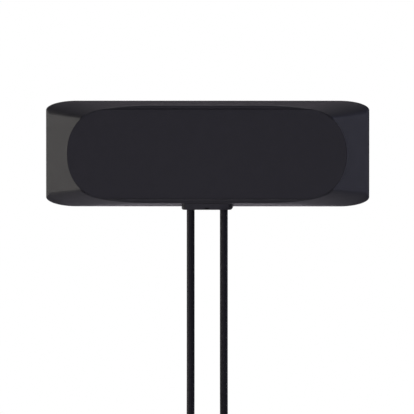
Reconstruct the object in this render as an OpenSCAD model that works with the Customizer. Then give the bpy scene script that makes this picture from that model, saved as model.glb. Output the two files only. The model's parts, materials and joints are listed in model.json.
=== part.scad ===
// Flat directional wifi panel antenna: a moulded black housing that hangs on a wall,
// two stacked patch radiators inside it, and two coaxial leads that leave at the bottom.
// The wall face lies in the plane y = 0, the front looks along -Y and +Z is up.
// Depths are measured from the wall face towards the front.

/* [Housing] */
// Width from end to end
housing_w = 205; // [170:1:250]
// Height
housing_h = 67; // [55:1:85]
// Depth from the wall face to the front rim
housing_d = 31; // [26:1:40]
// Depth of the upright side wall behind the slopes
side_depth = 9; // [6:0.5:12]
// Corner rounding along the width
corner_w = 19; // [8:1:24]
// Corner rounding along the height
corner_h = 6; // [4:0.5:10]
// Wall thickness
wall = 2.5; // [2:0.1:3]
// Rounding between side wall and slope, as a share of the slope
edge_share = 0.1; // [0.04:0.01:0.2]

/* [Front face] */
// Width of the sunken front face
face_w = 176.6; // [140:0.2:220]
// Height of the sunken front face
face_h = 57.6; // [46:0.2:75]
// Length of the rounded end of the front face
face_end = 25; // [15:1:30]
// Fullness of the rounded end, 2 is an ellipse
face_power = 2.2; // [2:0.1:3]
// Width of the rim round the front face
rim_w = 1.2; // [0.8:0.1:2]
// How far the front face is sunk below the rim
recess = 0.5; // [0.3:0.1:1]
// Angle on the face end where the straight side wall turns into its corner
corner_angle = 53; // [40:1:65]

/* [Back plate] */
// Thickness of the plate
plate_t = 3; // [2.5:0.1:4]
// Clearance between the plate and the housing lip
plate_gap = 0.2; // [0.1:0.05:0.4]
// Thickness of the housing lip round the plate
lip_t = 1.2; // [1:0.1:1.4]
// Thickness of the flat seal under the plate
seal_t = 1; // [0.6:0.1:1.5]
// Thickness of the plate ribs
rib_t = 1.6; // [1:0.1:2]
// Height of the plate ribs
rib_h = 2.4; // [1:0.1:3]
// Radius of the vent plug's flange
vent_r = 5; // [4:0.5:6]

/* [Wall mounting] */
// Distance between the threaded inserts along the width
mount_w = 100; // [80:1:110]
// Distance between the threaded inserts along the height
mount_h = 34; // [28:1:36]
// Outer radius of an insert
insert_r = 2.8; // [2.6:0.1:3.2]
// Bore radius of an insert, for an M4 thread
insert_bore_r = 1.65; // [1.6:0.05:1.7]
// Length of an insert
insert_len = 5.5; // [4:0.5:6]

/* [Screws] */
// Shank radius of every screw
screw_r = 1.4; // [1.2:0.1:1.6]
// Head radius
head_r = 2.75; // [2.4:0.05:3]
// Head height
head_h = 1.5; // [1.2:0.1:1.8]
// Radius of a screw boss in the housing
boss_r = 3.1; // [2.8:0.1:3.4]
// Radius of a stand-off on the back plate
standoff_r = 3.2; // [3:0.1:3.6]
// Distance from the housing's end to the corner bosses
boss_end = 14.5; // [13:0.5:17]
// Distance from the housing's long side to the bosses
boss_side = 6.3; // [6:0.1:8]
// Distance of the middle bosses from the centre
boss_mid_x = 32; // [28:1:40]
// Clearance round shanks, inserts and other seated round parts
fit_gap = 0.05; // [0.02:0.01:0.1]

/* [Radiators] */
// Depth of the reflector's back face
reflector_depth = 7; // [6.5:0.5:8]
// Thickness of the reflector sheet
reflector_t = 1; // [0.8:0.1:1.5]
// Room between the housing's end and the reflector
reflector_end_room = 18.5; // [18:0.5:24]
// Room between the cable block's flange and the reflector
reflector_side_room = 1; // [0.6:0.1:4]
// Thickness of the feed board
board_t = 1.6; // [1:0.1:2]
// Width of the reflector's border beside the board
board_end_room = 10; // [9:0.5:14]
// Height of the reflector's border above the board
board_side_room = 2; // [1:0.5:4]
// Thickness of a copper feed track
track_t = 0.1; // [0.05:0.05:0.2]
// Width of a copper feed track
track_w = 3; // [2:0.5:3]
// Distance from the centre to the inner edge of the patches
patch_inner = 23; // [22:0.5:26]
// Room between the patch edge and the board edge
patch_room = 5; // [4:0.5:8]
// Thickness of a patch sheet
patch_t = 0.8; // [0.5:0.1:1]
// Gap between the board and the lower patches
lower_gap = 5.4; // [4.5:0.1:6]
// Room between the upper patches and the inside of the front
upper_room = 5.5; // [3:0.5:7]
// Inset of the posts from the patch edges
post_inset = 3.2; // [3:0.1:5]
// Radius of a post
post_r = 2; // [1.8:0.1:2.2]
// Radius of the stud on a post
stud_r = 1.3; // [1:0.1:1.4]
// Radius of a feed pin
pin_r = 0.65; // [0.5:0.05:0.8]

/* [Cable exit] */
// Width of the cable block
block_w = 32.3; // [31:0.1:36]
// How far the block stands out below the housing
block_lip = 1.7; // [1:0.1:3]
// Distance from the block's front to the housing's rim
block_front_room = 4.5; // [4:0.5:6]
// Clearance between the block and the housing
block_gap = 0.15; // [0.1:0.05:0.3]
// Depth of the block's rounded front corners
block_corner_d = 8; // [4:0.5:9]
// Width of the block's rounded front corners
block_corner_w = 2.6; // [1.5:0.1:2.8]
// Radius of the block's lower corners
block_foot_r = 1.5; // [0.8:0.1:1.6]
// Width that the flange inside the housing adds on each side
flange_side = 2.8; // [2:0.1:4]
// Thickness of the flange
flange_t = 2.5; // [2:0.1:3]
// Width of the drain slot
drain_w = 2.6; // [2:0.1:3]
// Height of the drain slot
drain_h = 1; // [0.6:0.1:1.2]
// Wall thickness of a grommet
grommet_t = 0.9; // [0.6:0.1:1.2]
// Length of the inner cable clamp along the cables
clamp_len = 6; // [5:0.5:6]
// Thickness of the clamp cap above the cable
clamp_cap_t = 1.5; // [1:0.1:2]

/* [Cables] */
// Cable diameter
cable_d = 5; // [4:0.1:5.6]
// Distance between the two cables
cable_pitch = 21; // [19:0.5:23]
// Distance of the cable axis from the wall
cable_depth = 15.5; // [14:0.5:17]
// Turns across the width of a coil's ring
coil_layers = 5; // [3:1:5]
// Mean radius of a coil
coil_r = 27.5; // [25:0.5:32]
// Gap between the two coils
coil_gap = 0.6; // [0.4:0.1:2]
// Thickness of a coil tie
tie_t = 1.2; // [0.8:0.1:2]
// Width of a coil tie, as an angle of the coil
tie_angle = 22; // [14:1:30]

/* [Plugs] */
// Hexagon of the coupling nut across its flats
nut_af = 8; // [7.8:0.1:9]
// Length of the coupling nut
nut_len = 9; // [8:0.5:10]
// Bore radius of the nut's thread
nut_bore_r = 2.85; // [2.8:0.05:2.9]
// Radius of the neck that the nut turns on
neck_r = 2.6; // [2.5:0.05:2.65]
// Radial clearance between the nut and the neck
nut_gap = 0.05; // [0.02:0.01:0.09]
// Radius of the plug's contact sleeve
sleeve_r = 2.28; // [2.2:0.01:2.3]
// How far the nut reaches past the contact sleeve
nut_reach = 2.4; // [2:0.1:2.6]
// Length of the crimp ferrule
ferrule_len = 10; // [8:0.5:12]
// Wall of the crimp ferrule
ferrule_t = 0.5; // [0.4:0.1:0.8]
// Length of the shrink boot above the ferrule
boot_len = 9; // [6:0.5:14]
// Wall of the shrink boot
boot_t = 0.6; // [0.4:0.1:1]

/* [Hidden] */
$fn = 48;

// Colours
black_plastic = [0.16, 0.16, 0.17];
black_rubber = [0.08, 0.08, 0.09];
black_jacket = [0.12, 0.12, 0.13];
steel = [0.62, 0.63, 0.65];
aluminium = [0.78, 0.79, 0.8];
brass = [0.8, 0.65, 0.3];
gold = [0.85, 0.7, 0.35];
copper = [0.75, 0.45, 0.3];
board_green = [0.1, 0.35, 0.22];
nylon = [0.9, 0.9, 0.86];
vent_grey = [0.5, 0.5, 0.52];

// Cuts run this far past the faces that they open
over = 1;

// Loft of the housing
arc_steps = 24;
slope_rows = 5;
edge_steps = 3;
rim_round = 0.4;
recess_draft = 0.2;
front_inner = housing_d - recess - wall;
slope_depth = housing_d - side_depth;
inner_share = (front_inner - side_depth) / slope_depth;

// Screws
boss_x = housing_w / 2 - boss_end;
boss_z = housing_h / 2 - boss_side;
hole_r = screw_r + fit_gap;
hole_room = 0.2;
head_room = 0.25;
head_seat = head_h + 0.1;
front_tip = 2;
back_screw_len = 11;
boss_pilot_len = 13;
plate_skin = 1.2;
insert_wall = 1.6;
insert_room = 0.4;
vent_stem_r = vent_r - 2;
vent_room = 0.2;
vent_lip = 1;
vent_sink = 0.1;
socket_r = 1.3;
socket_depth = 0.9;

// Height at which the block's flange rests on the housing's inner floor
flange_low = -(face_h / 2 + rim_w - wall);

// Antenna stack, as depths
reflector_w = housing_w - 2 * reflector_end_room;
reflector_h = -2 * (flange_low + flange_t + reflector_side_room);
board_depth = reflector_depth + reflector_t;
board_top = board_depth + board_t;
track_top = board_top + track_t;
board_w = reflector_w - 2 * board_end_room;
board_h = reflector_h - 2 * board_side_room;
patch_w = board_w / 2 - patch_room - patch_inner;
patch_side_room = 1;
patch_h = board_h - 2 * patch_side_room;
patch_x = patch_inner + patch_w / 2;
lower_depth = board_top + lower_gap;
upper_depth = front_inner - upper_room;
reflector_screw_x = 5;
reflector_screw_z = 9;
board_screw_x = 4;
board_screw_z = 5;
board_low_screw_z = -8;
post_x = patch_w / 2 - post_inset;
post_z = patch_h / 2 - post_inset;
stake_h = 1;
upper_socket = 2.5;

// Feed network in the plane of the board
pad_z = 5.5;
upper_trunk_z = 9;
lower_trunk_z = -14;
pin_shift = 12;

// Cable exit
exit_z = -(housing_h / 2 + block_lip);
block_front = housing_d - block_front_room;
cable_r = cable_d / 2;
cable_x = cable_pitch / 2;
bore_r = cable_r + fit_gap;
grommet_r = bore_r + grommet_t;
clamp_reach = 6;
clamp_end = 3;
clamp_split = 0.2;
clamp_x = cable_x + clamp_reach;
clamp_half_w = clamp_x + clamp_end;
clamp_low = -board_h / 2;
clamp_z = clamp_low + clamp_len / 2;
clamp_top = cable_depth + cable_r + clamp_cap_t;

drain_up = 0.4;
drain_deep = 3;

// Stripped end of a lead, and its rest height over the board
lead_rest = track_top + cable_r + 0.2;
core_r = 1.45;
core_len = 3;
wire_r = 0.5;

// Coils and plugs, as drops below the exit of the cables
coil_drop = 177;
coil_columns = 2;
coil_thick = coil_columns * cable_d;
coil_band = coil_layers * cable_d;
coil_outer = coil_r + coil_band / 2;
entry_r = coil_outer - cable_r;
coil_shift = coil_thick / 2 + coil_gap / 2;
column_near = coil_shift - cable_r;
column_far = coil_shift + cable_r;
coil_bite = 2;
entry_drop = sqrt(coil_outer * coil_outer - entry_r * entry_r);
tie_at = 25;
plug_drop = 229;

// Plug, as lengths below the end of the ferrule's mouth
collar_r = 3.9;
collar_len = 1.6;
nut_room = 0.2;
nut_back = ferrule_len + collar_len + nut_room;
nut_mouth = nut_back + nut_len;
sleeve_end = nut_mouth - nut_reach;
ring_at = nut_back + 1.4;
ring_h = 0.6;
ring_inner_r = neck_r - 0.4;
ring_outer_r = neck_r + 0.35;
ring_play = 0.05;
contact_r = 0.65;
contact_bore_r = 0.45;
contact_seat = 1.5;
contact_short = 0.3;
contact_bore_len = 2.7;
body_bore_r = 0.85;
body_floor = 1;
neck_end = 0.8;
sleeve_taper = 0.3;
insulator_short = 0.2;
nut_chamfer = 0.5;
boot_step = 1.2;
boot_slope = 1.6;
boot_short = 1;
boot_room = 0.2;
insulator_r = 1.95;
spigot_r = cable_r - 0.6;
spigot_len = 2.5;
tail_in = ferrule_len - spigot_len - 1;

// The cables' own lines. Below the exit each cable drops straight, then eases over to its own
// coil: [share of the way to the coil's near column, up from the exit].
drop_route = [[0, 0], [0, -25], [0, -50], [0, -75], [0, -95], [0.29, -115], [0.79, -130], [1, -145]];
// Inside the housing: [share of the way down to the board, up from the clamp].
lay_route = [[0, 0.3], [0.16, 4.8], [0.61, 8.8], [0.94, 11.8], [1, 14.8]];

function mix(a, b, t) = a * (1 - t) + b * t;

// Depth and height of a lead's line inside the housing, straight to the clamp and then down
clamp_rise = clamp_low + clamp_len - exit_z;
inner_route = concat([for (i = [0:2]) [cable_depth, clamp_rise * i / 3]],
    [for (p = lay_route) [mix(cable_depth, lead_rest, p[0]), clamp_rise + p[1]]]);

function bezier(a, b, c, n) =
    [for (i = [0:n]) let(t = i / n) a * (1 - t) * (1 - t) + b * 2 * t * (1 - t) + c * t * t];

// Quarter of the sunken face's outline, grown to the rim: a superellipse at the end
function face_quarter(inset) =
    let(a = face_w / 2 + rim_w - inset, b = face_h / 2 + rim_w - inset, c = face_end + rim_w - inset)
    [for (i = [0:arc_steps]) let(phi = 90 * i / arc_steps)
        [a - c + c * pow(cos(phi), 2 / face_power), b * pow(sin(phi), 2 / face_power)]];

// Quarter of the side wall's outline: an upright end and an elliptical corner
function side_quarter(inset) =
    let(rx = corner_w - inset, rz = corner_h - inset,
        x = housing_w / 2 - inset - rx, z = housing_h / 2 - inset - rz)
    [for (i = [0:arc_steps])
        let(phi = 90 * i / arc_steps, psi = 90 * (phi - corner_angle) / (90 - corner_angle))
        phi <= corner_angle
            ? [x + rx, z * pow(sin(phi) / sin(corner_angle), 2 / face_power)]
            : [x + rx * cos(psi), z + rz * sin(psi)]];

// Whole outline, share 0 at the side wall and 1 at the rim
function outline(share, inset) =
    let(q = mix(side_quarter(inset), face_quarter(inset), share), n = arc_steps)
    concat(q, [for (i = [n:-1:0]) [-q[i][0], q[i][1]]], [for (i = [1:n]) [-q[i][0], -q[i][1]]],
        [for (i = [n:-1:1]) [q[i][0], -q[i][1]]]);

// A station is [share, depth, inset] on the way from the wall to the front
function slope_at(share) = [share, side_depth + share * slope_depth, 0];

outer_stations = concat(
    [[0, 0, 0]],
    bezier([0, side_depth - edge_share * side_depth, 0], [0, side_depth, 0], slope_at(edge_share),
        edge_steps),
    [for (i = [1:slope_rows]) slope_at(mix(edge_share, 1 - edge_share / 2, i / (slope_rows + 1)))],
    bezier(slope_at(1 - edge_share / 2), [1, housing_d, 0], [1, housing_d, rim_round], edge_steps),
    [[1, housing_d, rim_w], [1, housing_d - recess, rim_w + recess_draft]]);

function inner_stations(back, inset) = concat(
    [[0, back, inset], [0, side_depth, inset]],
    [for (i = [1:slope_rows]) slope_at(inner_share * i / slope_rows) + [0, 0, inset]]);

// Solid whose sections are the outlines at the given stations
module loft(stations) {
    count = 4 * arc_steps + 2;
    last = len(stations) - 1;
    rings = [for (s = stations) for (p = outline(s[0], s[2])) [p[0], -s[1], p[1]]];
    centres = [[0, -stations[0][1], 0], [0, -stations[last][1], 0]];
    sides = [for (k = [0:last - 1]) for (i = [0:count - 1])
        let(j = (i + 1) % count, a = k * count, b = a + count)
        each [[a + i, b + i, b + j], [a + i, b + j, a + j]]];
    caps = [for (i = [0:count - 1])
        let(j = (i + 1) % count, b = last * count, c = len(rings))
        each [[i, j, c], [b + j, b + i, c + 1]]];
    polyhedron(points = concat(rings, centres), faces = concat(sides, caps), convexity = 6);
}

// Flat outline at a depth, grown towards the front
module sheet(depth, thickness) {
    translate([0, -depth, 0]) rotate([90, 0, 0]) linear_extrude(thickness) children();
}

// Round pillar at [x, z], from a depth towards the front
module pillar(spot, depth, length, radius) {
    translate([spot[0], -depth, spot[1]]) rotate([90, 0, 0]) cylinder(h = length, r = radius);
}

module ring_pillar(spot, depth, length, radius, bore) {
    difference() {
        pillar(spot, depth, length, radius);
        pillar(spot, depth - over, length + 2 * over, bore);
    }
}

// Screw driven from the front, its head on the face at the seat depth
module front_screw(spot, seat, tip) {
    difference() {
        union() {
            pillar(spot, seat, head_h, head_r);
            pillar(spot, tip, seat - tip, screw_r);
        }
        translate([spot[0], -(seat + head_h - socket_depth), spot[1]]) rotate([90, 0, 0])
            cylinder(h = socket_depth + over, r = socket_r, $fn = 6);
    }
}

// Screw driven from the wall side, its head sunk in the plate
module back_screw(spot) {
    difference() {
        union() {
            pillar(spot, head_seat - head_h, head_h, head_r);
            pillar(spot, head_seat, back_screw_len, screw_r);
        }
        translate([spot[0], over, spot[1]]) rotate([90, 0, 0])
            cylinder(h = over + head_seat - head_h + socket_depth, r = socket_r, $fn = 6);
    }
}

function mirrored(x, z) = [[x, z], [-x, z], [x, -z], [-x, -z]];

back_screw_spots = concat(mirrored(boss_x, boss_z), mirrored(boss_mid_x, boss_z));
insert_spots = mirrored(mount_w / 2, mount_h / 2);
reflector_spots = mirrored(reflector_w / 2 - reflector_screw_x, reflector_h / 2 - reflector_screw_z);
board_spots = [[board_w / 2 - board_screw_x, 0], [-board_w / 2 + board_screw_x, 0],
    [0, board_h / 2 - board_screw_z], [0, board_low_screw_z]];
clamp_spots = [[clamp_x, clamp_z], [-clamp_x, clamp_z]];
plate_spots = concat(reflector_spots, board_spots, clamp_spots);
vent_spot = [0, clamp_z];

// Plan of the cable block, grown by a clearance; its back edge lies at a depth of its own
function block_plan(grow, back) =
    let(w = block_w / 2 + grow, f = block_front + grow)
    concat([[-w, -back], [w, -back]],
        [for (i = [0:6]) let(a = 15 * i)
            [w - block_corner_w * (1 - cos(a)), -(f - block_corner_d * (1 - sin(a)))]],
        [for (i = [6:-1:0]) let(a = 15 * i)
            [-w + block_corner_w * (1 - cos(a)), -(f - block_corner_d * (1 - sin(a)))]]);

// Front view of the block, with rounded lower corners
module block_front_view(top) {
    w = block_w / 2;
    r = block_foot_r;
    polygon(concat([[w, top], [-w, top]],
        [for (i = [0:6]) let(a = 180 + 15 * i) [-w + r + r * cos(a), exit_z + r + r * sin(a)]],
        [for (i = [0:6]) let(a = 270 + 15 * i) [w - r + r * cos(a), exit_z + r + r * sin(a)]]));
}

module radome() {
    color(black_plastic)
    difference() {
        union() {
            difference() {
                loft(outer_stations);
                loft(inner_stations(-over, wall));
                sheet(-over, over + plate_t + seal_t) polygon(outline(0, lip_t));
            }
            intersection() {
                for (spot = back_screw_spots)
                    pillar(spot, plate_t, front_inner - plate_t + wall / 2, boss_r);
                loft(inner_stations(0, wall / 2));
            }
        }
        for (spot = back_screw_spots)
            pillar(spot, plate_t - over, over + boss_pilot_len, hole_r);
        translate([0, 0, -housing_h / 2 - over])
            linear_extrude(over + housing_h / 2 + flange_low)
                polygon(block_plan(block_gap, -over));
    }
}

module back_plate() {
    tongue_h = lip_t + plate_gap + over;
    color(black_plastic)
    difference() {
        union() {
            sheet(0, plate_t) polygon(outline(0, lip_t + plate_gap));
            translate([-block_w / 2, -plate_t, -housing_h / 2]) cube([block_w, plate_t, tongue_h]);
            for (spot = insert_spots)
                pillar(spot, 0, insert_len + plate_skin, insert_r + insert_wall);
            for (spot = plate_spots)
                pillar(spot, 0, reflector_depth, standoff_r);
            for (z = [-mount_h / 2, mount_h / 2])
                translate([-board_w / 2, -plate_t - rib_h, z - rib_t / 2])
                    cube([board_w, rib_h + plate_t / 2, rib_t]);
            for (x = [-mount_w / 2, mount_w / 2])
                translate([x - rib_t / 2, -plate_t - rib_h, -mount_h / 2])
                    cube([rib_t, rib_h + plate_t / 2, mount_h]);
        }
        for (spot = insert_spots)
            pillar(spot, -over, over + insert_len + insert_room, insert_r + fit_gap);
        for (spot = plate_spots)
            pillar(spot, plate_skin, reflector_depth, hole_r);
        for (spot = back_screw_spots) {
            pillar(spot, -over, plate_t + 2 * over, hole_r + hole_room);
            pillar(spot, -over, over + head_seat, head_r + head_room);
        }
        pillar(vent_spot, -over, plate_t + rib_h + 2 * over, vent_stem_r + fit_gap);
        pillar(vent_spot, -over, over + vent_lip, vent_r + vent_room);
    }
}

module rim_seal() {
    color(black_rubber)
    difference() {
        sheet(plate_t, seal_t) polygon(outline(0, lip_t + plate_gap));
        sheet(plate_t - over, seal_t + 2 * over) polygon(outline(0, wall));
        translate([0, 0, -housing_h / 2 - over]) linear_extrude(housing_h / 2)
            polygon(block_plan(block_gap, -over));
    }
}

module back_screws() {
    color(steel) for (spot = back_screw_spots) back_screw(spot);
}

module wall_inserts() {
    color(brass) for (spot = insert_spots) ring_pillar(spot, 0, insert_len, insert_r, insert_bore_r);
}

module vent_plug() {
    color(vent_grey) {
        pillar(vent_spot, vent_sink, vent_lip - vent_sink, vent_r);
        pillar(vent_spot, vent_lip / 2, plate_t, vent_stem_r);
    }
}

module reflector() {
    color(aluminium)
    difference() {
        sheet(reflector_depth, reflector_t) square([reflector_w, reflector_h], center = true);
        for (spot = plate_spots)
            pillar(spot, reflector_depth - over, reflector_t + 2 * over, hole_r + hole_room);
    }
}

module reflector_screws() {
    color(steel) for (spot = reflector_spots) front_screw(spot, board_depth, front_tip);
}

module feed_board() {
    color(board_green)
    difference() {
        sheet(board_depth, board_t) square([board_w, board_h], center = true);
        for (spot = concat(board_spots, clamp_spots))
            pillar(spot, board_depth - over, board_t + 2 * over, hole_r + hole_room);
    }
}

module board_screws() {
    color(steel) for (spot = board_spots) front_screw(spot, board_top, front_tip);
}

// Straight copper strip between two points of the board plane
module strip(from, to) {
    low = [min(from[0], to[0]), min(from[1], to[1])];
    high = [max(from[0], to[0]), max(from[1], to[1])];
    translate(low - [track_w / 2, track_w / 2]) square(high - low + [track_w, track_w]);
}

// Copper line from a cable's pad to one pin under each patch
module feed_track(side, trunk_z, pin_x, pin_z) {
    color(copper)
    sheet(board_top, track_t) {
        strip([side * cable_x, pad_z], [side * cable_x, trunk_z]);
        strip([-pin_x, trunk_z], [pin_x, trunk_z]);
        for (s = [-1, 1]) strip([s * pin_x, trunk_z], [s * pin_x, pin_z]);
    }
}

module feed_track_left() { feed_track(-1, upper_trunk_z, patch_x - pin_shift, 0); }

module feed_track_right() { feed_track(1, lower_trunk_z, patch_x, lower_trunk_z); }

pin_spots = [for (s = [-1, 1]) each [[s * (patch_x - pin_shift), 0], [s * patch_x, lower_trunk_z]]];

module feed_pins() {
    color(gold) for (spot = pin_spots) pillar(spot, track_top, lower_depth + patch_t - track_top, pin_r);
}

function post_spots(side) = [for (p = mirrored(post_x, post_z)) [side * patch_x + p[0], p[1]]];

// Patch sheet on one side, with holes for its posts and, where it is fed, its pins
module patch(side, depth, fed) {
    color(brass)
    difference() {
        translate([side * patch_x, 0, 0]) sheet(depth, patch_t) square([patch_w, patch_h], center = true);
        for (spot = post_spots(side))
            pillar(spot, depth - over, patch_t + 2 * over, stud_r + fit_gap);
        if (fed)
            for (spot = pin_spots)
                pillar(spot, depth - over, patch_t + 2 * over, pin_r + fit_gap);
    }
}

module lower_patch_left() { patch(-1, lower_depth, true); }

module lower_patch_right() { patch(1, lower_depth, true); }

module upper_patch_left() { patch(-1, upper_depth, false); }

module upper_patch_right() { patch(1, upper_depth, false); }

module lower_posts(side) {
    color(nylon) for (spot = post_spots(side)) {
        pillar(spot, board_top, lower_gap, post_r);
        pillar(spot, board_top, lower_gap + patch_t + upper_socket - 0.3, stud_r);
    }
}

module lower_posts_left() { lower_posts(-1); }

module lower_posts_right() { lower_posts(1); }

module upper_posts(side) {
    low = lower_depth + patch_t;
    color(nylon) for (spot = post_spots(side)) difference() {
        union() {
            pillar(spot, low, upper_depth - low, post_r);
            pillar(spot, low, upper_depth + patch_t - low, stud_r);
            pillar(spot, upper_depth + patch_t, stake_h, post_r);
        }
        pillar(spot, low - over, over + upper_socket, stud_r + fit_gap);
    }
}

module upper_posts_left() { upper_posts(-1); }

module upper_posts_right() { upper_posts(1); }

module cable_block() {
    flange_w = block_w + 2 * flange_side;
    color(black_plastic)
    difference() {
        union() {
            intersection() {
                translate([0, 0, exit_z]) linear_extrude(flange_low - exit_z + flange_t)
                    polygon(block_plan(0, plate_t));
                sheet(0, housing_d) block_front_view(flange_low + flange_t);
            }
            translate([-flange_w / 2, -block_front, flange_low])
                cube([flange_w, block_front - plate_t - seal_t - plate_gap, flange_t]);
        }
        for (side = [-1, 1])
            translate([side * cable_x, -cable_depth, exit_z - over])
                cylinder(h = flange_low - exit_z + flange_t + 2 * over, r = grommet_r + fit_gap);
        translate([-drain_w / 2, -block_front - over, exit_z + drain_up])
            cube([drain_w, over + drain_deep, drain_h]);
    }
}

module grommet(side) {
    length = flange_low - exit_z + flange_t;
    color(black_rubber)
    translate([side * cable_x, -cable_depth, exit_z])
    difference() {
        cylinder(h = length, r = grommet_r);
        translate([0, 0, -over]) cylinder(h = length + 2 * over, r = bore_r);
    }
}

module grommet_left() { grommet(-1); }

module grommet_right() { grommet(1); }

// Block across both cables between two depths, grooved for them and drilled for its screws
module clamp_half(low, high) {
    difference() {
        translate([-clamp_half_w, -high, clamp_low]) cube([2 * clamp_half_w, high - low, clamp_len]);
        for (side = [-1, 1])
            translate([side * cable_x, -cable_depth, clamp_low - over])
                cylinder(h = clamp_len + 2 * over, r = bore_r);
        for (spot = clamp_spots)
            pillar(spot, low - over, high - low + 2 * over, hole_r + hole_room);
    }
}

module clamp_base() {
    color(nylon) clamp_half(board_top, cable_depth - clamp_split);
}

module clamp_cap() {
    color(nylon) clamp_half(cable_depth + clamp_split, clamp_top);
}

module clamp_screws() {
    color(steel) for (spot = clamp_spots) front_screw(spot, clamp_top, front_tip);
}

// Points on a smooth line through the given ones, each stretch cut in parts
function smooth(p, parts) =
    let(n = len(p) - 1)
    concat([for (i = [0:n - 1]) for (k = [0:parts - 1])
        let(a = p[max(i - 1, 0)], b = p[i], c = p[i + 1], d = p[min(i + 2, n)], t = k / parts)
        b + (c - a) * t / 2 + (a * 2 - b * 5 + c * 4 - d) * t * t / 2
            + (b * 3 - a - c * 3 + d) * t * t * t / 2], [p[n]]);

// Round tube through points that share one x, swept ring by ring, with level ends
module tube(line, radius, sides = 12) {
    n = len(line) - 1;
    points = [for (i = [0:n])
        let(along = i == 0 || i == n
                ? [0, 0, line[n][2] - line[0][2]]
                : line[i + 1] - line[i - 1],
            t = along / norm(along), u = [1, 0, 0], v = cross(t, u))
        for (k = [0:sides - 1]) let(a = 360 * k / sides) line[i] + radius * (u * cos(a) + v * sin(a))];
    walls = [for (i = [0:n - 1]) for (k = [0:sides - 1])
        let(j = (k + 1) % sides, a = i * sides, b = a + sides)
        each [[a + k, a + j, b + j], [a + k, b + j, b + k]]];
    start = [for (k = [sides - 1:-1:0]) k];
    end = [for (k = [0:sides - 1]) n * sides + k];
    polyhedron(points = points, faces = concat([start, end], walls), convexity = 6);
}

function towards_front(side) = side < 0 ? -1 : 1;

// Stretch of a cable between the block and the board
module inner_lead(side) {
    line = [for (p = inner_route) [side * cable_x, -p[0], exit_z + p[1]]];
    color(black_jacket) tube(smooth(line, 2), cable_r);
}

module inner_lead_left() { inner_lead(-1); }

module inner_lead_right() { inner_lead(1); }

// Stripped end of a lead: insulation, then the wire bent down to its pad
module lead_core(side) {
    end = inner_route[len(inner_route) - 1];
    x = side * cable_x;
    low = exit_z + end[1];
    color(copper)
    union() {
        translate([x, -end[0], low]) cylinder(h = core_len, r = core_r);
        translate([x, -end[0], low]) cylinder(h = pad_z - low + wire_r, r = wire_r);
        pillar([x, pad_z], track_top, end[0] - track_top, wire_r - fit_gap);
    }
}

module lead_core_left() { lead_core(-1); }

module lead_core_right() { lead_core(1); }

// Free stretch of a cable, from the block to its coil
module free_cable(side) {
    bend = towards_front(side);
    down = [for (p = drop_route)
        [side * cable_x, -cable_depth + bend * p[0] * column_near, exit_z + p[1]]];
    coil_entry = [side * cable_x, -cable_depth + bend * column_near,
        exit_z - coil_drop + entry_drop - coil_bite];
    color(black_jacket) tube(concat(smooth(down, 2), [coil_entry]), cable_r);
}

module cable_left() { free_cable(-1); }

module cable_right() { free_cable(1); }

// Section of the wound ring beside its axis, grown by a clearance
module ring_section(grow) {
    r = cable_r + grow;
    w = coil_band / 2 - cable_r;
    h = coil_thick / 2 - cable_r;
    translate([coil_r, 0]) {
        square([2 * (w + r), 2 * h], center = true);
        square([2 * w, 2 * (h + r)], center = true);
        for (x = [-w, w]) for (y = [-h, h]) translate([x, y]) circle(r);
    }
}

// Puts a shape that turns round Z at the coil of one side, its axis along Y
module at_coil(side) {
    translate([side * (cable_x - entry_r), -cable_depth + towards_front(side) * coil_shift,
        exit_z - coil_drop])
        rotate([90, 0, 0]) children();
}

module coil(side) {
    color(black_jacket) at_coil(side) rotate_extrude($fn = 96) ring_section(0);
}

module coil_left() { coil(-1); }

module coil_right() { coil(1); }

// Band round the bundle, a short piece of a sleeve that follows the coil
module coil_tie(side) {
    color(black_rubber)
    at_coil(side) rotate([0, 0, (side < 0 ? tie_at : 180 - tie_at) - tie_angle / 2])
        rotate_extrude(angle = tie_angle, $fn = 96)
            difference() {
                ring_section(fit_gap + tie_t);
                ring_section(fit_gap);
            }
}

module coil_tie_left() { coil_tie(-1); }

module coil_tie_right() { coil_tie(1); }

function tail_point(side, drop) =
    [side * cable_x, -cable_depth + towards_front(side) * column_far, exit_z - drop];

// Last stretch of a cable, from its coil into the plug
module cable_tail(side) {
    first = coil_drop + entry_drop - coil_bite;
    last = plug_drop + tail_in;
    color(black_jacket)
    tube([for (i = [0:5]) tail_point(side, mix(first, last, i / 5))], cable_r);
}

module cable_tail_left() { cable_tail(-1); }

module cable_tail_right() { cable_tail(1); }

// Revolved plug piece: the outline is [radius, length below the ferrule's mouth]
module plug_piece(side, outline) {
    translate(tail_point(side, plug_drop)) rotate_extrude() polygon([for (p = outline) [p[0], -p[1]]]);
}

module boot(side) {
    over_ferrule = bore_r + ferrule_t + fit_gap;
    color(black_rubber)
    plug_piece(side, [[bore_r, -boot_len], [bore_r + boot_t, -boot_len],
        [bore_r + boot_t, -boot_step], [over_ferrule + boot_t, boot_slope - boot_step],
        [over_ferrule + boot_t, ferrule_len - boot_short], [over_ferrule, ferrule_len - boot_short],
        [over_ferrule, -boot_room], [bore_r, -boot_room]]);
}

module boot_left() { boot(-1); }

module boot_right() { boot(1); }

module ferrule(side) {
    outer = bore_r + ferrule_t;
    color(gold)
    plug_piece(side, [[bore_r, 0], [outer, 0], [outer, ferrule_len], [bore_r, ferrule_len]]);
}

module ferrule_left() { ferrule(-1); }

module ferrule_right() { ferrule(1); }

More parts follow.
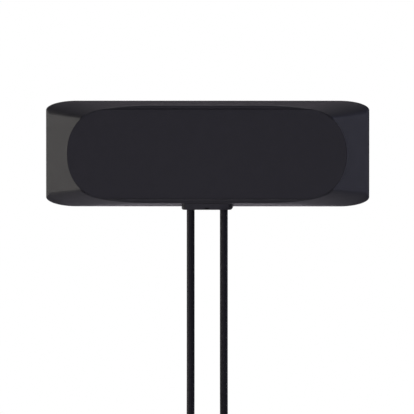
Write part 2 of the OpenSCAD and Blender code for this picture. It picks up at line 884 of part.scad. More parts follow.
// Plug shell: spigot in the ferrule, collar, neck with a ring groove and contact sleeve
module plug_body(side) {
    hole = insulator_r + fit_gap;
    groove_top = ring_at - ring_play;
    groove_end = ring_at + ring_h + ring_play;
    groove_r = ring_inner_r - ring_play;
    floor_at = ferrule_len + body_floor;
    color(gold)
    plug_piece(side, [[body_bore_r, ferrule_len - spigot_len],
        [spigot_r, ferrule_len - spigot_len], [spigot_r, ferrule_len], [collar_r, ferrule_len],
        [collar_r, ferrule_len + collar_len], [neck_r, ferrule_len + collar_len],
        [neck_r, groove_top], [groove_r, groove_top], [groove_r, groove_end],
        [neck_r, groove_end], [neck_r, groove_end + neck_end],
        [sleeve_r, groove_end + neck_end + sleeve_taper], [sleeve_r, sleeve_end],
        [hole, sleeve_end], [hole, floor_at], [body_bore_r, floor_at]]);
}

module plug_body_left() { plug_body(-1); }

module plug_body_right() { plug_body(1); }

// Open spring ring that keeps the nut on the neck
module plug_ring(side) {
    color(steel)
    difference() {
        plug_piece(side, [[ring_inner_r, ring_at], [ring_outer_r, ring_at],
            [ring_outer_r, ring_at + ring_h], [ring_inner_r, ring_at + ring_h]]);
        translate(tail_point(side, plug_drop + ring_at + ring_h / 2))
            translate([0, -ring_outer_r, 0]) cube([1, 2 * ring_outer_r, 2 * ring_h], center = true);
    }
}

module plug_ring_left() { plug_ring(-1); }

module plug_ring_right() { plug_ring(1); }

module plug_insulator(side) {
    hole = contact_r + fit_gap;
    top = ferrule_len + body_floor + fit_gap;
    end = sleeve_end - insulator_short;
    color(nylon)
    plug_piece(side, [[hole, top], [insulator_r, top], [insulator_r, end], [hole, end]]);
}

module plug_insulator_left() { plug_insulator(-1); }

module plug_insulator_right() { plug_insulator(1); }

// Centre contact, a socket at its free end
module plug_contact(side) {
    top = ferrule_len + contact_seat;
    end = sleeve_end - contact_short;
    color(gold)
    plug_piece(side, [[0, top], [contact_r, top], [contact_r, end], [contact_bore_r, end],
        [contact_bore_r, end - contact_bore_len], [0, end - contact_bore_len]]);
}

module plug_contact_left() { plug_contact(-1); }

module plug_contact_right() { plug_contact(1); }

// Hexagon nut with a running bore on the neck, a groove for the ring and a threaded mouth
module plug_nut(side) {
    corner_r = nut_af / 2 / cos(30);
    rear = neck_r + nut_gap;
    groove_r = ring_outer_r + nut_gap;
    groove_top = ring_at - 2 * ring_play;
    groove_end = ring_at + ring_h + 2 * ring_play;
    color(gold)
    difference() {
        intersection() {
            translate(tail_point(side, plug_drop + nut_mouth)) cylinder(h = nut_len, r = corner_r, $fn = 6);
            plug_piece(side, [[0, nut_back], [corner_r - nut_chamfer, nut_back],
                [corner_r, nut_back + nut_chamfer], [corner_r, nut_mouth - nut_chamfer],
                [corner_r - nut_chamfer, nut_mouth], [0, nut_mouth]]);
        }
        plug_piece(side, [[0, nut_back - over], [rear, nut_back - over], [rear, groove_top],
            [groove_r, groove_top], [groove_r, groove_end], [nut_bore_r, groove_end],
            [nut_bore_r, nut_mouth + over], [0, nut_mouth + over]]);
    }
}

module plug_nut_left() { plug_nut(-1); }

module plug_nut_right() { plug_nut(1); }

radome();
back_plate();
rim_seal();
back_screws();
wall_inserts();
vent_plug();
reflector();
reflector_screws();
feed_board();
board_screws();
feed_track_left();
feed_track_right();
lower_patch_left();
lower_patch_right();
upper_patch_left();
upper_patch_right();
lower_posts_left();
lower_posts_right();
upper_posts_left();
upper_posts_right();
feed_pins();
cable_block();
grommet_left();
grommet_right();
clamp_base();
clamp_cap();
clamp_screws();
inner_lead_left();
inner_lead_right();
lead_core_left();
lead_core_right();
cable_left();
cable_right();
coil_left();
coil_right();
coil_tie_left();
coil_tie_right();
cable_tail_left();
cable_tail_right();
boot_left();
boot_right();
ferrule_left();
ferrule_right();
plug_body_left();
plug_body_right();
plug_ring_left();
plug_ring_right();
plug_insulator_left();
plug_insulator_right();
plug_contact_left();
plug_contact_right();
plug_nut_left();
plug_nut_right();
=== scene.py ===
"""Looks of a flat directional wifi panel antenna: a black housing with two coaxial cables."""

import json
import math

import bmesh
import bpy
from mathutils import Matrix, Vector

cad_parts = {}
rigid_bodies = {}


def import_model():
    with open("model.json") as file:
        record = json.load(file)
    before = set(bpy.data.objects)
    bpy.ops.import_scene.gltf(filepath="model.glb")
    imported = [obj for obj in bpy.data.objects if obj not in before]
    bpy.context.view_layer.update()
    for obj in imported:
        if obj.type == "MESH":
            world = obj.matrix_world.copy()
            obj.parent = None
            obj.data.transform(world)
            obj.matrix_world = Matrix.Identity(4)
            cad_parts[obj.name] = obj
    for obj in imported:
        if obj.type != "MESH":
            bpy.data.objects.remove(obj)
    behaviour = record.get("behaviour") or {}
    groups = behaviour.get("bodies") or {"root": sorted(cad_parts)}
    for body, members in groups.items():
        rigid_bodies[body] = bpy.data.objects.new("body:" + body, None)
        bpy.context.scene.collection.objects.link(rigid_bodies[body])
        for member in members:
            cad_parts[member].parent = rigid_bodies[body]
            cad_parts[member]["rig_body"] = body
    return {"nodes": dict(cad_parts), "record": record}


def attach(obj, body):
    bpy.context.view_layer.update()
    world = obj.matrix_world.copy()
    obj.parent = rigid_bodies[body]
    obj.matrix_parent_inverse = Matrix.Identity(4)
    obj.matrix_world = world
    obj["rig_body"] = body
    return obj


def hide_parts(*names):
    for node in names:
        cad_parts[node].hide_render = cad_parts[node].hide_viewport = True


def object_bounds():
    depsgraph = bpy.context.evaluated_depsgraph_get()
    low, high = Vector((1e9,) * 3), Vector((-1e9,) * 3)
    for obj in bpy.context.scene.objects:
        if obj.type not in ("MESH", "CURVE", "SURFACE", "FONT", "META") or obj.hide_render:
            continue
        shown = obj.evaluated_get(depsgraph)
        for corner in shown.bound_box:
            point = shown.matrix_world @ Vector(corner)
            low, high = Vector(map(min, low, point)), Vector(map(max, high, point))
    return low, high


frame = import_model()
cad_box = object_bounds()

MM = 0.001

# The photograph's frame
PHOTO_PX = 414
MM_PER_PX = 0.635
VIEW_CENTRE = Vector((-0.44, -4.5, -34.0)) * MM
VIEW_AZIMUTH = 1.5
VIEW_ELEVATION = 1.6
VIEW_DISTANCE = 3.0

# World and floor, in metres and shares of full white
WORLD_TINT = (0.92, 0.95, 1.0, 1)
WORLD_GLOW = 0.04
FLOOR_DROP = 0.06
FLOOR_HALF = 1.1
FLOOR_PAINT = (0.85, 0.85, 0.86, 1)
FLOOR_GLOW = 0.75
WHITE = (1, 1, 1, 1)

# Softboxes round the object: azimuth and elevation in degrees, size in metres, watts by colour
SOFTBOXES = {
    "top": (0, 89, (1.0, 0.8), (8.9, 8.6, 9.3)),
    "left": (-90, 3, (0.5, 0.45), (4.1, 3.95, 3.8)),
    "left_behind": (-110, 0, (0.6, 0.55), (1.25, 1.25, 1.0)),
    "front": (0, 0, (0.6, 0.55), (1.9, 1.8, 2.3)),
    "front_left": (-57, 0, (0.5, 0.6), (2.6, 2.4, 2.5)),
    "right_low": (65, -25, (0.6, 0.55), (2.2, 2.05, 2.8)),
    "right_high": (65, 25, (0.6, 0.55), (0.45, 0.5, 1.1)),
    "right": (90, 6, (0.5, 0.45), (2.1, 2.1, 2.7)),
    "behind_right": (130, 25, (0.6, 0.55), (1.1, 1.05, 1.3)),
    "behind_left": (-150, 8, (0.6, 0.7), (1.8, 1.75, 2.2)),
    "behind_low": (180, -25, (0.6, 0.55), (5.4, 4.9, 5.5)),
    "behind": (180, 0, (0.6, 0.55), (3.3, 2.8, 3.2)),
    "behind_high": (180, 45, (0.6, 0.6), (0.8, 0.7, 0.8)),
}
LIGHT_DISTANCE = 1.6
LIGHT_TARGET = Vector((0, -0.02, 0))

# Materials: the range that most of a noise lies in, and the colour sockets of a Mix node
NOISE_LOW = 0.3
NOISE_HIGH = 0.7
MIX_A, MIX_B, MIX_RESULT = 6, 7, 2

# The cables, as in the part's source, in mm
CABLE_D = 5.0
CABLE_X = 10.5
CABLE_Y = -15.5
EXIT_Z = -35.2
COIL_DROP = 177.0
COIL_R = 27.5
COIL_LAYERS = 5
COLUMN_NEAR = 2.8
COLUMN_FAR = 7.8
TAIL_END_DROP = 235.5
JOG_ANGLE = 130.0
DROP_ROUTE = [
    (0, 0), (0, -25), (0, -50), (0, -75), (0, -95), (0.8, -115), (2.2, -130), (2.8, -145),
]
DROP_END_RISE = 20
TAIL_ROUTE = (5, 10, 20, 30, 40, 50, TAIL_END_DROP - COIL_DROP)
DROP_PARTS = 4
TURN_POINTS = 48
CABLE_ROUNDNESS = 5
SIDES = {"left": -1, "right": 1}

# The housing in mm, as in the part's source but for its end facets, corners, rim and face.
# A share of the slope runs from 0 at the side wall to 1 in front.
HOUSING_W = 205.0
HOUSING_H = 67.0
HOUSING_D = 31.0
SIDE_DEPTH = 9.0
CORNER = (19.0, 6.0)
SLOPE_CORNER_H = 9.0  # a corner's height just past the soft edge
FRONT_W = 158.4
FRONT_CORNER = (45.0, 9.1)
EDGE_SHARE = 0.1  # what the soft edge takes of the side wall and of the slope
FACE_W = 176.6
FACE_H = 57.0
FACE_END = 27.0
FACE_POWER = 2.2
RIM_W = 2.4
RIM_ROUND = 1.5
RECESS = 0.5
POCKET_SLOPE = 0.45
GROOVE_D = 0.35
FACE_ROUND = 0.3
FACE_DRAFT = 0.5
SEAM = 0.2
PANEL_BASE = 7.0  # the panel's base, from the side walls' edge
WALL = 2.5
HOLLOW_STEP = 0.4  # the room behind the panel is this much deeper than the body's
LIP_T = 1.2
PLATE_AND_SEAL = 4.0
BLOCK_HALF = 16.3
BLOCK_FRONT = 26.65
BLOCK_CORNER = (2.75, 8.0)
BLOCK_NOTCH_TOP = -27.5
OVERRUN = 1.0  # how far a cutting piece reaches past what it cuts

# The drain slot in the cable block, in mm, front and back measured from the wall
DRAIN_HALF = 1.35
DRAIN_LOW = -35.0
DRAIN_HIGH = -34.2
DRAIN_FRONT = 27.5
DRAIN_BACK = 12.0

# How finely the housing's curves are cut, and how its facets and the other pieces are smoothed
BODY_STEPS = 24
FACE_STEPS = 40
NOTCH_STEPS = 6
SOFT_STEPS = 4
SLOPE_STEPS = 4
EDGE_STEPS = 5
SHELL_ANGLE = 26
SHELL_FACE_WEIGHT = 90
FAIR_ANGLE = 28


def placed(name, data):
    """A new object in the scene."""
    thing = bpy.data.objects.new(name, data)
    bpy.context.scene.collection.objects.link(thing)
    return thing


# Camera, world and lights


def direction(azimuth, elevation):
    """The way from the object to a viewpoint, from angles in degrees."""
    a, e = math.radians(azimuth), math.radians(elevation)
    return Vector((math.sin(a) * math.cos(e), -math.cos(a) * math.cos(e), math.sin(e)))


def make_camera():
    """A long lens at the photograph's angle, its frame as wide as the photograph's."""
    data = bpy.data.cameras.new("camera")
    data.sensor_fit = "HORIZONTAL"
    data.sensor_width = 36.0
    data.lens = data.sensor_width * VIEW_DISTANCE / (PHOTO_PX * MM_PER_PX * MM)
    data.clip_end = 50.0
    camera = placed("camera", data)
    away = direction(VIEW_AZIMUTH, VIEW_ELEVATION)
    camera.location = VIEW_CENTRE + away * VIEW_DISTANCE
    camera.rotation_euler = (-away).to_track_quat("-Z", "Y").to_euler()
    bpy.context.scene.camera = camera


def seen_directly(tree):
    """A value that is 1 where a ray comes from the camera or through glass, else 0."""
    path = tree.nodes.new("ShaderNodeLightPath")
    most = tree.nodes.new("ShaderNodeMath")
    most.operation = "MAXIMUM"
    tree.links.new(path.outputs["Is Camera Ray"], most.inputs[0])
    tree.links.new(path.outputs["Is Transmission Ray"], most.inputs[1])
    return most.outputs[0]


def blend(tree, share, first, second):
    """The output of a shader that goes from the first to the second with a share."""
    mix = tree.nodes.new("ShaderNodeMixShader")
    for i, value in enumerate((share, first, second)):
        tree.links.new(value, mix.inputs[i])
    return mix.outputs[0]


def make_world():
    """White where it is seen directly, dim in reflections and as light."""
    world = bpy.data.worlds.new("studio")
    world.use_nodes = True
    bpy.context.scene.world = world
    tree = world.node_tree
    tree.nodes.clear()
    output = tree.nodes.new("ShaderNodeOutputWorld")
    dim = tree.nodes.new("ShaderNodeBackground")
    dim.inputs["Color"].default_value = WORLD_TINT
    dim.inputs["Strength"].default_value = WORLD_GLOW
    white = tree.nodes.new("ShaderNodeBackground")
    white.inputs["Color"].default_value = WHITE
    white.inputs["Strength"].default_value = 1.0
    seen = blend(tree, seen_directly(tree), dim.outputs[0], white.outputs[0])
    tree.links.new(seen, output.inputs[0])


def make_lights():
    """The softboxes, each turned to the object."""
    for name, (azimuth, elevation, size, watts) in SOFTBOXES.items():
        power = max(watts)
        data = bpy.data.lights.new("softbox_" + name, "AREA")
        data.shape = "RECTANGLE"
        data.size, data.size_y = size
        data.energy = power
        data.color = [w / power for w in watts]
        light = placed("softbox_" + name, data)
        place = LIGHT_TARGET + direction(azimuth, elevation) * LIGHT_DISTANCE
        light.location = place
        light.rotation_euler = (LIGHT_TARGET - place).to_track_quat("-Z", "Y").to_euler()


def make_floor():
    """A pale floor below the hanging cables, clear from underneath to leave the object in view."""
    low = cad_box[0][2] - FLOOR_DROP
    corners = [(-1, -1), (1, -1), (1, 1), (-1, 1)]
    mesh = bpy.data.meshes.new("floor")
    mesh.from_pydata(
        [(x * FLOOR_HALF, y * FLOOR_HALF, low) for x, y in corners], [], [(0, 1, 2, 3)])
    floor = placed("floor", mesh)
    material = bpy.data.materials.new("floor_white")
    material.use_nodes = True
    tree = material.node_tree
    tree.nodes.clear()
    output = tree.nodes.new("ShaderNodeOutputMaterial")
    paint = tree.nodes.new("ShaderNodeBsdfDiffuse")
    paint.inputs["Color"].default_value = FLOOR_PAINT
    glow = tree.nodes.new("ShaderNodeEmission")
    glow.inputs["Color"].default_value = WHITE
    glow.inputs["Strength"].default_value = FLOOR_GLOW
    both = tree.nodes.new("ShaderNodeAddShader")
    tree.links.new(paint.outputs[0], both.inputs[0])
    tree.links.new(glow.outputs[0], both.inputs[1])
    above = blend(tree, seen_directly(tree), paint.outputs[0], both.outputs[0])
    side = tree.nodes.new("ShaderNodeNewGeometry")
    clear = tree.nodes.new("ShaderNodeBsdfTransparent")
    seen = blend(tree, side.outputs["Backfacing"], above, clear.outputs[0])
    tree.links.new(seen, output.inputs[0])
    mesh.materials.append(material)


# Materials


class Recipe:
    """A principled material under construction, with short ways to add its textures."""

    def __init__(self, name, colour, roughness, metallic=0.0):
        self.material = bpy.data.materials.new(name)
        self.material.use_nodes = True
        self.tree = self.material.node_tree
        self.shader = self.tree.nodes["Principled BSDF"]
        self.colour = colour
        self.shader.inputs["Base Color"].default_value = (*colour, 1)
        self.shader.inputs["Roughness"].default_value = roughness
        self.shader.inputs["Metallic"].default_value = metallic
        self.place = self.tree.nodes.new("ShaderNodeTexCoord").outputs["Object"]
        self.bump = None

    def set(self, socket, value):
        self.shader.inputs[socket].default_value = value
        return self

    def stretched(self, scale):
        """The place scaled by its own factor along each axis."""
        mapping = self.tree.nodes.new("ShaderNodeMapping")
        mapping.inputs["Scale"].default_value = scale
        self.tree.links.new(self.place, mapping.inputs["Vector"])
        return mapping.outputs[0]

    def noise(self, scale, detail=2.0, roughness=0.5, place=None):
        node = self.tree.nodes.new("ShaderNodeTexNoise")
        node.inputs["Scale"].default_value = scale
        node.inputs["Detail"].default_value = detail
        node.inputs["Roughness"].default_value = roughness
        self.tree.links.new(place or self.place, node.inputs["Vector"])
        return node.outputs["Fac"]

    def spread(self, value, low, high):
        """A noise mapped to a range."""
        node = self.tree.nodes.new("ShaderNodeMapRange")
        node.inputs["From Min"].default_value = NOISE_LOW
        node.inputs["From Max"].default_value = NOISE_HIGH
        node.inputs["To Min"].default_value = low
        node.inputs["To Max"].default_value = high
        self.tree.links.new(value, node.inputs["Value"])
        return node.outputs["Result"]

    def vary_roughness(self, value, low, high):
        self.tree.links.new(self.spread(value, low, high), self.shader.inputs["Roughness"])
        return self

    def vary_colour(self, value, darker, lighter):
        """Colour between two shares of the base colour."""
        mix = self.tree.nodes.new("ShaderNodeMix")
        mix.data_type = "RGBA"
        mix.inputs[MIX_A].default_value = (*[c * darker for c in self.colour], 1)
        mix.inputs[MIX_B].default_value = (*[min(1, c * lighter) for c in self.colour], 1)
        self.tree.links.new(self.spread(value, 0, 1), mix.inputs["Factor"])
        self.tree.links.new(mix.outputs[MIX_RESULT], self.shader.inputs["Base Color"])
        return self

    def raise_by(self, value, height, strength=1.0):
        """Bump of a height in metres, on top of what is there."""
        node = self.tree.nodes.new("ShaderNodeBump")
        node.inputs["Strength"].default_value = strength
        node.inputs["Distance"].default_value = height
        self.tree.links.new(value, node.inputs["Height"])
        if self.bump:
            self.tree.links.new(self.bump, node.inputs["Normal"])
        self.bump = node.outputs["Normal"]
        self.tree.links.new(self.bump, self.shader.inputs["Normal"])
        return self


def moulded(name, colour, roughness, grain, height):
    """Injection-moulded plastic: a fine spark-eroded grain and faint flow marks."""
    r = Recipe(name, colour, roughness)
    flow = r.noise(160, 3, 0.6)
    fine = r.noise(grain, 2, 0.6)
    r.vary_roughness(flow, roughness - 0.012, roughness + 0.018)
    r.vary_colour(fine, 0.86, 1.14)
    r.raise_by(fine, height)
    r.raise_by(r.noise(grain * 0.45, 1), height * 0.6)
    return r.set("Specular IOR Level", 0.5).material


def rubbery(name, colour, roughness, grain=2600):
    """Rubber or soft cable jacket with a fine grain."""
    r = Recipe(name, colour, roughness)
    r.vary_roughness(r.noise(300, 3), roughness - 0.05, roughness + 0.06)
    r.vary_colour(r.noise(900, 2), 0.85, 1.2)
    r.raise_by(r.noise(grain, 2), 0.00002)
    r.set("IOR", 1.38)
    return r.set("Specular IOR Level", 0.4).material


def rolled_metal(name, colour, roughness, scale):
    """Sheet or turned metal with streaks along one axis."""
    r = Recipe(name, colour, roughness, 1.0)
    streaks = r.noise(1.0, 3, 0.6, r.stretched(scale))
    r.vary_roughness(streaks, roughness - 0.07, roughness + 0.09)
    r.vary_colour(r.noise(120, 3), 0.9, 1.06)
    r.raise_by(streaks, 0.000006)
    return r.material


def nylon_white():
    """Undyed nylon, faintly translucent."""
    r = Recipe("nylon_white", (0.78, 0.77, 0.72), 0.42)
    r.vary_colour(r.noise(150, 3), 0.94, 1.03)
    r.vary_roughness(r.noise(700, 2), 0.36, 0.5)
    r.raise_by(r.noise(1800, 2), 0.00001)
    r.set("Subsurface Weight", 0.15)
    return r.set("Subsurface Scale", 0.002).material


def board_green():
    """Solder mask over a glass weave."""
    r = Recipe("board_green", (0.02, 0.13, 0.06), 0.3)
    weave = r.tree.nodes.new("ShaderNodeTexChecker")
    weave.inputs["Scale"].default_value = 1800
    r.tree.links.new(r.place, weave.inputs["Vector"])
    r.vary_colour(r.noise(60, 2), 0.85, 1.15)
    r.raise_by(weave.outputs["Fac"], 0.000005, 0.4)
    return r.set("Coat Weight", 0.4).material


def make_materials():
    """One material for each slot of the record."""
    along_x = (60, 4000, 4000)
    return {
        "housing_plastic": moulded("housing_black", (0.0215, 0.021, 0.0245), 0.5, 2300, 0.00002),
        "block_plastic": moulded("block_black", (0.026, 0.0255, 0.029), 0.46, 3200, 0.00001),
        "seal_rubber": rubbery("seal_black", (0.012, 0.012, 0.013), 0.62),
        "screw_steel": rolled_metal("zinc_steel", (0.62, 0.63, 0.65), 0.32, (2500, 2500, 400)),
        "insert_brass": rolled_metal("turned_brass", (0.72, 0.5, 0.2), 0.28, (3000, 300, 3000)),
        "vent_plastic": moulded("vent_grey", (0.06, 0.06, 0.063), 0.55, 5000, 0.00002),
        "sheet_aluminium": rolled_metal("rolled_aluminium", (0.77, 0.78, 0.79), 0.34, along_x),
        "board_laminate": board_green(),
        "track_copper": rolled_metal("tinned_copper", (0.72, 0.42, 0.27), 0.3, (900, 900, 900)),
        "pin_gold": rolled_metal("pin_gold", (0.85, 0.62, 0.28), 0.22, (3000, 200, 3000)),
        "patch_brass": rolled_metal("rolled_brass", (0.76, 0.58, 0.27), 0.3, along_x),
        "nylon": nylon_white(),
        "cable_jacket": rubbery("jacket_black", (0.0145, 0.014, 0.017), 0.45, 900),
        "tie_rubber": rubbery("tie_black", (0.02, 0.02, 0.021), 0.6, 1500),
        "boot_rubber": rubbery("boot_black", (0.016, 0.016, 0.017), 0.48, 700),
        "plug_gold": rolled_metal("plug_gold", (0.86, 0.63, 0.29), 0.2, (600, 600, 4000)),
    }


def slots_of_nodes():
    return {s["node"]: s["material_slot"] for s in frame["record"]["subparts"]}


def give(piece, material):
    piece.data.materials.clear()
    piece.data.materials.append(material)


# Meshes


def soften(mesh, angle):
    """Smooth shading with sharp edges where two faces meet at more than an angle in degrees."""
    work = bmesh.new()
    work.from_mesh(mesh)
    bmesh.ops.remove_doubles(work, verts=work.verts, dist=1e-6)
    bmesh.ops.dissolve_degenerate(work, edges=work.edges, dist=1e-7)
    limit = math.radians(angle)
    for face in work.faces:
        face.smooth = True
    for edge in work.edges:
        edge.smooth = len(edge.link_faces) == 2 and edge.calc_face_angle(0) < limit
    work.to_mesh(mesh)
    work.free()


def weigh_normals(piece):
    """A modifier that lets the larger faces set the normals, within the sharp edges."""
    weigh = piece.modifiers.new("weighted", "WEIGHTED_NORMAL")
    weigh.keep_sharp = True
    return weigh


def fair_copy(node):
    """The CAD node's own shape with smooth curves, which stands for it."""
    source = frame["nodes"][node]
    mesh = source.data.copy()
    mesh.name = node + "_fair"
    for name in ("custom_normal", "sharp_edge", "sharp_face"):
        if name in mesh.attributes:
            mesh.attributes.remove(mesh.attributes[name])
    piece = placed(node + "_fair", mesh)
    soften(mesh, FAIR_ANGLE)
    weigh_normals(piece)
    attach(piece, source["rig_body"])
    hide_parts(node)
    return piece


def lofted(name, sections):
    """A closed piece through sections of equally many points, each a list of places in mm."""
    work = bmesh.new()
    rows = [[work.verts.new((x * MM, y * MM, z * MM)) for x, y, z in s] for s in sections]
    count = len(rows[0])
    for low, high in zip(rows, rows[1:]):
        for i in range(count):
            j = (i + 1) % count
            work.faces.new((low[i], low[j], high[j], high[i]))
    work.faces.new(list(reversed(rows[0])))
    work.faces.new(rows[-1])
    bmesh.ops.recalc_face_normals(work, faces=work.faces)
    mesh = bpy.data.meshes.new(name)
    work.to_mesh(mesh)
    work.free()
    return placed(name, mesh)


def solid_of(name, rings, depths):
    """A piece of outlines in x and z, each at its depth in front of the wall."""
    return lofted(name, [[(x, -depth, z) for x, z in ring] for ring, depth in zip(rings, depths)])


def upright(name, plan, low, high):
    """A piece of a plan in x and y that stands from one height to another."""
    return lofted(name, [[(x, y, z) for x, y in plan] for z in (low, high)])


def combine(piece, tool, operation):
    """The piece joined with or cut by a tool, which goes."""
    change = piece.modifiers.new("combine", "BOOLEAN")
    change.operation = operation
    change.solver = "EXACT"
    change.object = tool
    graph = bpy.context.evaluated_depsgraph_get()
    mesh = bpy.data.meshes.new_from_object(piece.evaluated_get(graph))
    piece.modifiers.clear()
    piece.data = mesh
    bpy.data.objects.remove(tool)


# Outlines and curves, in mm


def mixed(a, b, share):
    return a + (b - a) * share


def quarter_turn(steps):
    """Angles of a quarter circle, cut in steps."""
    return [math.radians(90 * i / steps) for i in range(steps + 1)]


def all_round(quarter):
    """A quarter of an outline, from the side to the middle of the top, mirrored all round."""
    top = quarter + [(-x, z) for x, z in reversed(quarter)]
    ring = top + [(-x, -z) for x, z in top]
    return [p for i, p in enumerate(ring) if (Vector(p) - Vector(ring[i - 1])).length > 1e-6]


def curve_between(a, corner, b, steps):
    """Points on a rounding from a to b, as tuples."""
    out = []
    for i in range(steps + 1):
        t = i / steps
        out.append(tuple(
            (1 - t) ** 2 * p + 2 * t * (1 - t) * q + t * t * r for p, q, r in zip(a, corner, b)))
    return out


def body_ring(share, inset):
    """Outline of the body, a rectangle with elliptical corners: share 0 at the side wall,
    share 1 in front."""
    turned = min(1.0, share / EDGE_SHARE)
    w = mixed(HOUSING_W, FRONT_W, share) / 2
    h = mixed(HOUSING_H / 2, FACE_H / 2 + RIM_W, share)
    rx = mixed(CORNER[0], FRONT_CORNER[0], share)
    rz = mixed(mixed(CORNER[1], SLOPE_CORNER_H, turned), FRONT_CORNER[1], share)
    return all_round([
        (w - rx + (rx - inset) * math.cos(a), h - rz + (rz - inset) * math.sin(a))
        for a in quarter_turn(BODY_STEPS)])


def face_ring(inset):
    """Outline of the front face, a superellipse at each end."""
    a, b, c = FACE_W / 2 - inset, FACE_H / 2 - inset, FACE_END - inset
    power = 2 / FACE_POWER
    return all_round([
        (a - c + c * max(math.cos(phi), 0) ** power, b * math.sin(phi) ** power)
        for phi in quarter_turn(FACE_STEPS)])


# The housing


def at_share(share, inset=0.0):
    """Share, depth and inset of a section on the slope."""
    return (share, SIDE_DEPTH + share * (HOUSING_D - SIDE_DEPTH), inset)


def body_piece(name, stations):
    """A piece of body outlines, from the share, depth and inset of each."""
    rings = [body_ring(share, inset) for share, _, inset in stations]
    return solid_of(name, rings, [depth for _, depth, _ in stations])


def face_piece(name, stations):
    """A piece of face outlines, from the depth and inset of each."""
    return solid_of(name, [face_ring(inset) for _, inset in stations], [d for d, _ in stations])


def housing_outside():
    """The whole body: side walls, a soft edge, the slope with its end facets, a rounded rim."""
    last = 1 - EDGE_SHARE / 2
    soft = curve_between(
        (0, SIDE_DEPTH * (1 - EDGE_SHARE), 0), (0, SIDE_DEPTH, 0), at_share(EDGE_SHARE), SOFT_STEPS)
    slope = [at_share(mixed(EDGE_SHARE, last, i / SLOPE_STEPS)) for i in range(1, SLOPE_STEPS)]
    rim = curve_between(at_share(last), (1, HOUSING_D, 0), (1, HOUSING_D, RIM_ROUND), EDGE_STEPS)
    return body_piece("housing_shell", [(0, 0, 0)] + soft + slope + rim)


def face_pocket(top):
    """What is cut for the face: sloped walls, and a groove at the foot round the panel."""
    return face_piece("pocket", [
        (top - GROOVE_D, 0), (top, 0),
        (HOUSING_D, -POCKET_SLOPE), (HOUSING_D + OVERRUN, -POCKET_SLOPE),
    ])


def face_panel(root, top):
    """The panel, which leaves a seam in the pocket and stands proud of the end facets."""
    edge = curve_between(
        (top - FACE_ROUND, SEAM - FACE_ROUND / 8), (top, SEAM), (top, SEAM + FACE_ROUND),
        EDGE_STEPS)
    return face_piece("panel", [(root, SEAM - FACE_DRAFT)] + edge)


def body_hollow(top):
    """The room inside the body, a little less deep than the room behind the panel."""
    deep = (top - WALL - HOLLOW_STEP - SIDE_DEPTH) / (HOUSING_D - SIDE_DEPTH)
    return body_piece("hollow", [
        (0, -OVERRUN, WALL), (0, SIDE_DEPTH, WALL), at_share(EDGE_SHARE, WALL),
        at_share(deep, WALL),
    ])


def block_notch():
    """What is cut for the cable block, with its elliptical front corners."""
    wide, deep = BLOCK_CORNER
    right = [
        (BLOCK_HALF - wide * (1 - math.cos(a)), -(BLOCK_FRONT - deep * (1 - math.sin(a))))
        for a in quarter_turn(NOTCH_STEPS)]
    back = [(-BLOCK_HALF, OVERRUN), (BLOCK_HALF, OVERRUN)]
    plan = back + right + [(-x, y) for x, y in reversed(right)]
    return upright("notch", plan, -HOUSING_H / 2 - OVERRUN, BLOCK_NOTCH_TOP)


def make_housing():
    """The moulded shell: flat end facets, rolled corners and the face panel."""
    top = HOUSING_D - RECESS
    root = SIDE_DEPTH + PANEL_BASE
    shell = housing_outside()
    combine(shell, face_pocket(top), "DIFFERENCE")
    combine(shell, face_panel(root, top), "UNION")
    combine(shell, body_hollow(top), "DIFFERENCE")
    room = face_piece("face_hollow", [(root, WALL), (top - WALL, WALL)])
    combine(shell, room, "DIFFERENCE")
    seat = body_piece("seat", [(0, -OVERRUN, LIP_T), (0, PLATE_AND_SEAL, LIP_T)])
    combine(shell, seat, "DIFFERENCE")
    combine(shell, block_notch(), "DIFFERENCE")
    soften(shell.data, SHELL_ANGLE)
    weigh_normals(shell).weight = SHELL_FACE_WEIGHT
    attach(shell, frame["nodes"]["radome"]["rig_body"])
    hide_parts("radome")
    return shell


def open_drain(block):
    """The drain slot in the block's foot, cut higher and deeper than in the source so that
    it reads dark."""
    plan = [
        (-DRAIN_HALF, -DRAIN_FRONT), (DRAIN_HALF, -DRAIN_FRONT),
        (DRAIN_HALF, -DRAIN_BACK), (-DRAIN_HALF, -DRAIN_BACK),
    ]
    combine(block, upright("drain", plan, DRAIN_LOW, DRAIN_HIGH), "DIFFERENCE")
    soften(block.data, FAIR_ANGLE)


# The cables


def eased(t):
    t = min(max(t, 0.0), 1.0)
    return t * t * (3 - 2 * t)


def coil_place(turn_angle, side):
    """Point of the wound cable after an angle in degrees, in mm. Each turn steps to its lane
    at its start, first to its column and then to its radius."""
    radii = [COIL_R + (COIL_LAYERS - 1) * CABLE_D / 2 - k * CABLE_D for k in range(COIL_LAYERS)]
    lanes = [(r, COLUMN_NEAR) for r in radii] + [(r, COLUMN_FAR) for r in reversed(radii)]
    turn = min(int(turn_angle // 360), len(lanes) - 1)
    here = turn_angle - 360 * turn
    before = lanes[max(turn - 1, 0)]
    radius_share = eased((here - JOG_ANGLE / 2) / (JOG_ANGLE / 2))
    column_share = eased(here / (JOG_ANGLE / 2))
    radius = mixed(before[0], lanes[turn][0], radius_share)
    column = mixed(before[1], lanes[turn][1], column_share)
    centre_x = side * (CABLE_X - radii[0])
    angle = math.radians(turn_angle)
    return (
        centre_x + side * radius * math.cos(angle),
        CABLE_Y + side * column,
        EXIT_Z - COIL_DROP - radius * math.sin(angle),
    )


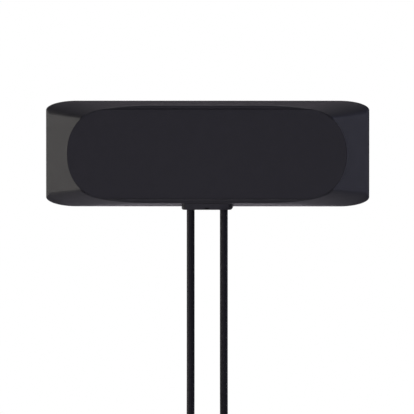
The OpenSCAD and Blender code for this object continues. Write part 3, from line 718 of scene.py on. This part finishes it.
def smooth_line(points, parts):
    """Points on a smooth line through the given ones, each stretch cut in parts."""
    points = [Vector(p) for p in points]
    last = len(points) - 1
    line = []
    for i in range(last):
        a, b, c, d = points[max(i - 1, 0)], points[i], points[i + 1], points[min(i + 2, last)]
        for k in range(parts):
            t = k / parts
            line.append(b + (c - a) * t / 2 + (a * 2 - b * 5 + c * 4 - d) * t * t / 2
                + (b * 3 - a - c * 3 + d) * t ** 3 / 2)
    return line + [points[-1]]


def cable_line(side):
    """The whole run of one cable in metres: drop, ten turns and tail. Low down, the left one
    bends away from the wall and the right one towards it."""
    x = side * CABLE_X
    coil_z = EXIT_Z - COIL_DROP
    drop = [(x, CABLE_Y + side * out, EXIT_Z + down) for out, down in DROP_ROUTE]
    drop.append((x, CABLE_Y + side * COLUMN_NEAR, coil_z + DROP_END_RISE))
    points = 2 * COIL_LAYERS * TURN_POINTS + 1
    coil = [coil_place(360 * i / TURN_POINTS, side) for i in range(points)]
    tail = [(x, CABLE_Y + side * COLUMN_FAR, coil_z - down) for down in TAIL_ROUTE]
    line = smooth_line(drop, DROP_PARTS) + [Vector(p) for p in coil + tail]
    return [p * MM for p in line]


def make_cable(word, material):
    """One cable as a tube along its whole run, and its length in metres."""
    line = cable_line(SIDES[word])
    curve = bpy.data.curves.new("coax_" + word, "CURVE")
    curve.dimensions = "3D"
    curve.bevel_depth = CABLE_D / 2 * MM
    curve.bevel_resolution = CABLE_ROUNDNESS
    curve.use_fill_caps = True
    spline = curve.splines.new("POLY")
    spline.points.add(len(line) - 1)
    for point, place in zip(spline.points, line):
        point.co = (*place, 1)
    spline.use_smooth = True
    piece = placed("coax_" + word, curve)
    curve.materials.append(material)
    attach(piece, "antenna")
    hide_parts("cable_" + word, "coil_" + word, "cable_tail_" + word)
    length = sum((b - a).length for a, b in zip(line, line[1:]))
    return piece, round(length, 3)


make_camera()
make_world()
make_lights()
make_floor()
materials = make_materials()
slots = slots_of_nodes()
cables = {word: make_cable(word, materials["cable_jacket"]) for word in SIDES}

fair = {}
for node in sorted(slots):
    if frame["nodes"][node].hide_render:
        continue
    fair[node] = make_housing() if node == "radome" else fair_copy(node)
    if node == "cable_block":
        open_drain(fair[node])
    give(fair[node], materials[slots[node]])

bpy.context.scene.view_settings.view_transform = "Standard"
